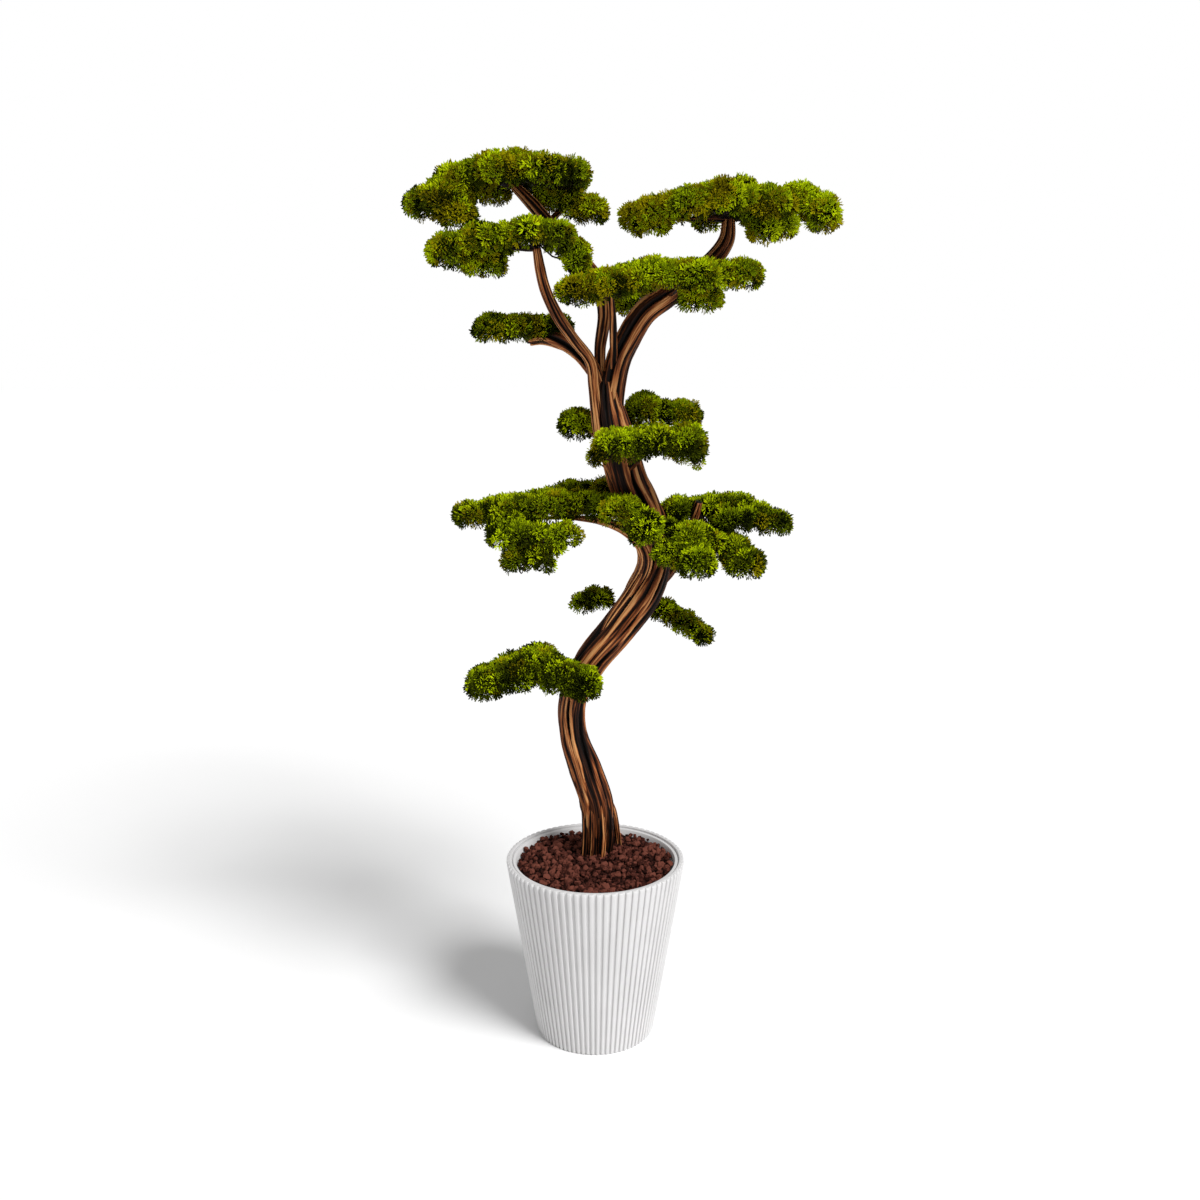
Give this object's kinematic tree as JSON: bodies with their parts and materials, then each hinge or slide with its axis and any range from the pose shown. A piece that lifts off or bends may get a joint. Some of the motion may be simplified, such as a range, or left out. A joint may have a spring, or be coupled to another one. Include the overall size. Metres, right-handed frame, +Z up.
{
  "type": "chilean myrtle bonsai",
  "caption": "Indoor bonsai tree with a winding strand-like trunk and flat clipped pads of foliage, standing in a tapered fluted planter topped with lava gravel.",
  "frame": {"origin": "middle of the planter's flat underside", "axes": "+Z up along the planter's axis, -Y towards the front, +X to the right seen from the front"},
  "size_m": [0.7847, 0.352, 1.7064],
  "materials": {
    "planter": "matte",
    "gravel": "matte",
    "bark": "matte",
    "foliage": "matte"
  },
  "bodies": {
    "root": {"planter": "planter", "gravel": "gravel", "trunk": "bark", "leader_right": "bark", "leader_left": "bark", "leader_middle": "bark", "bough_side": "bark", "bough_arch": "bark", "bough_right": "bark", "bough_low": "bark", "bough_centre": "bark", "bough_centre_right": "bark", "bough_centre_back": "bark", "bough_crown_back": "bark", "bough_waist_front": "bark", "bough_waist_back": "bark", "bough_waist_left": "bark", "bough_arch_back": "bark", "bough_knee": "bark", "crown_left_outer": "foliage", "crown_left_top": "foliage", "crown_left_inner": "foliage", "crown_left_low": "foliage", "leader_pad_outer": "foliage", "leader_pad_inner": "foliage", "side_pad_outer": "foliage", "side_pad_inner": "foliage", "crown_right_left": "foliage", "crown_right_front": "foliage", "crown_right_middle": "foliage", "crown_right_tip": "foliage", "centre_pad_left": "foliage", "centre_pad_middle": "foliage", "centre_pad_right": "foliage", "centre_pad_back": "foliage", "centre_tuft": "foliage", "waist_pad_left": "foliage", "waist_pad_back": "foliage", "waist_pad_front": "foliage", "arch_pad_back": "foliage", "arch_pad_outer": "foliage", "arch_pad_top": "foliage", "arch_pad_hanging": "foliage", "arch_pad_trunk": "foliage", "right_pad_upper": "foliage", "right_pad_tip": "foliage", "right_pad_lower": "foliage", "right_pad_lower_tip": "foliage", "knee_pad_left": "foliage", "knee_pad_right": "foliage", "low_pad_outer": "foliage", "low_pad_inner": "foliage"}
  },
  "joints": []
}
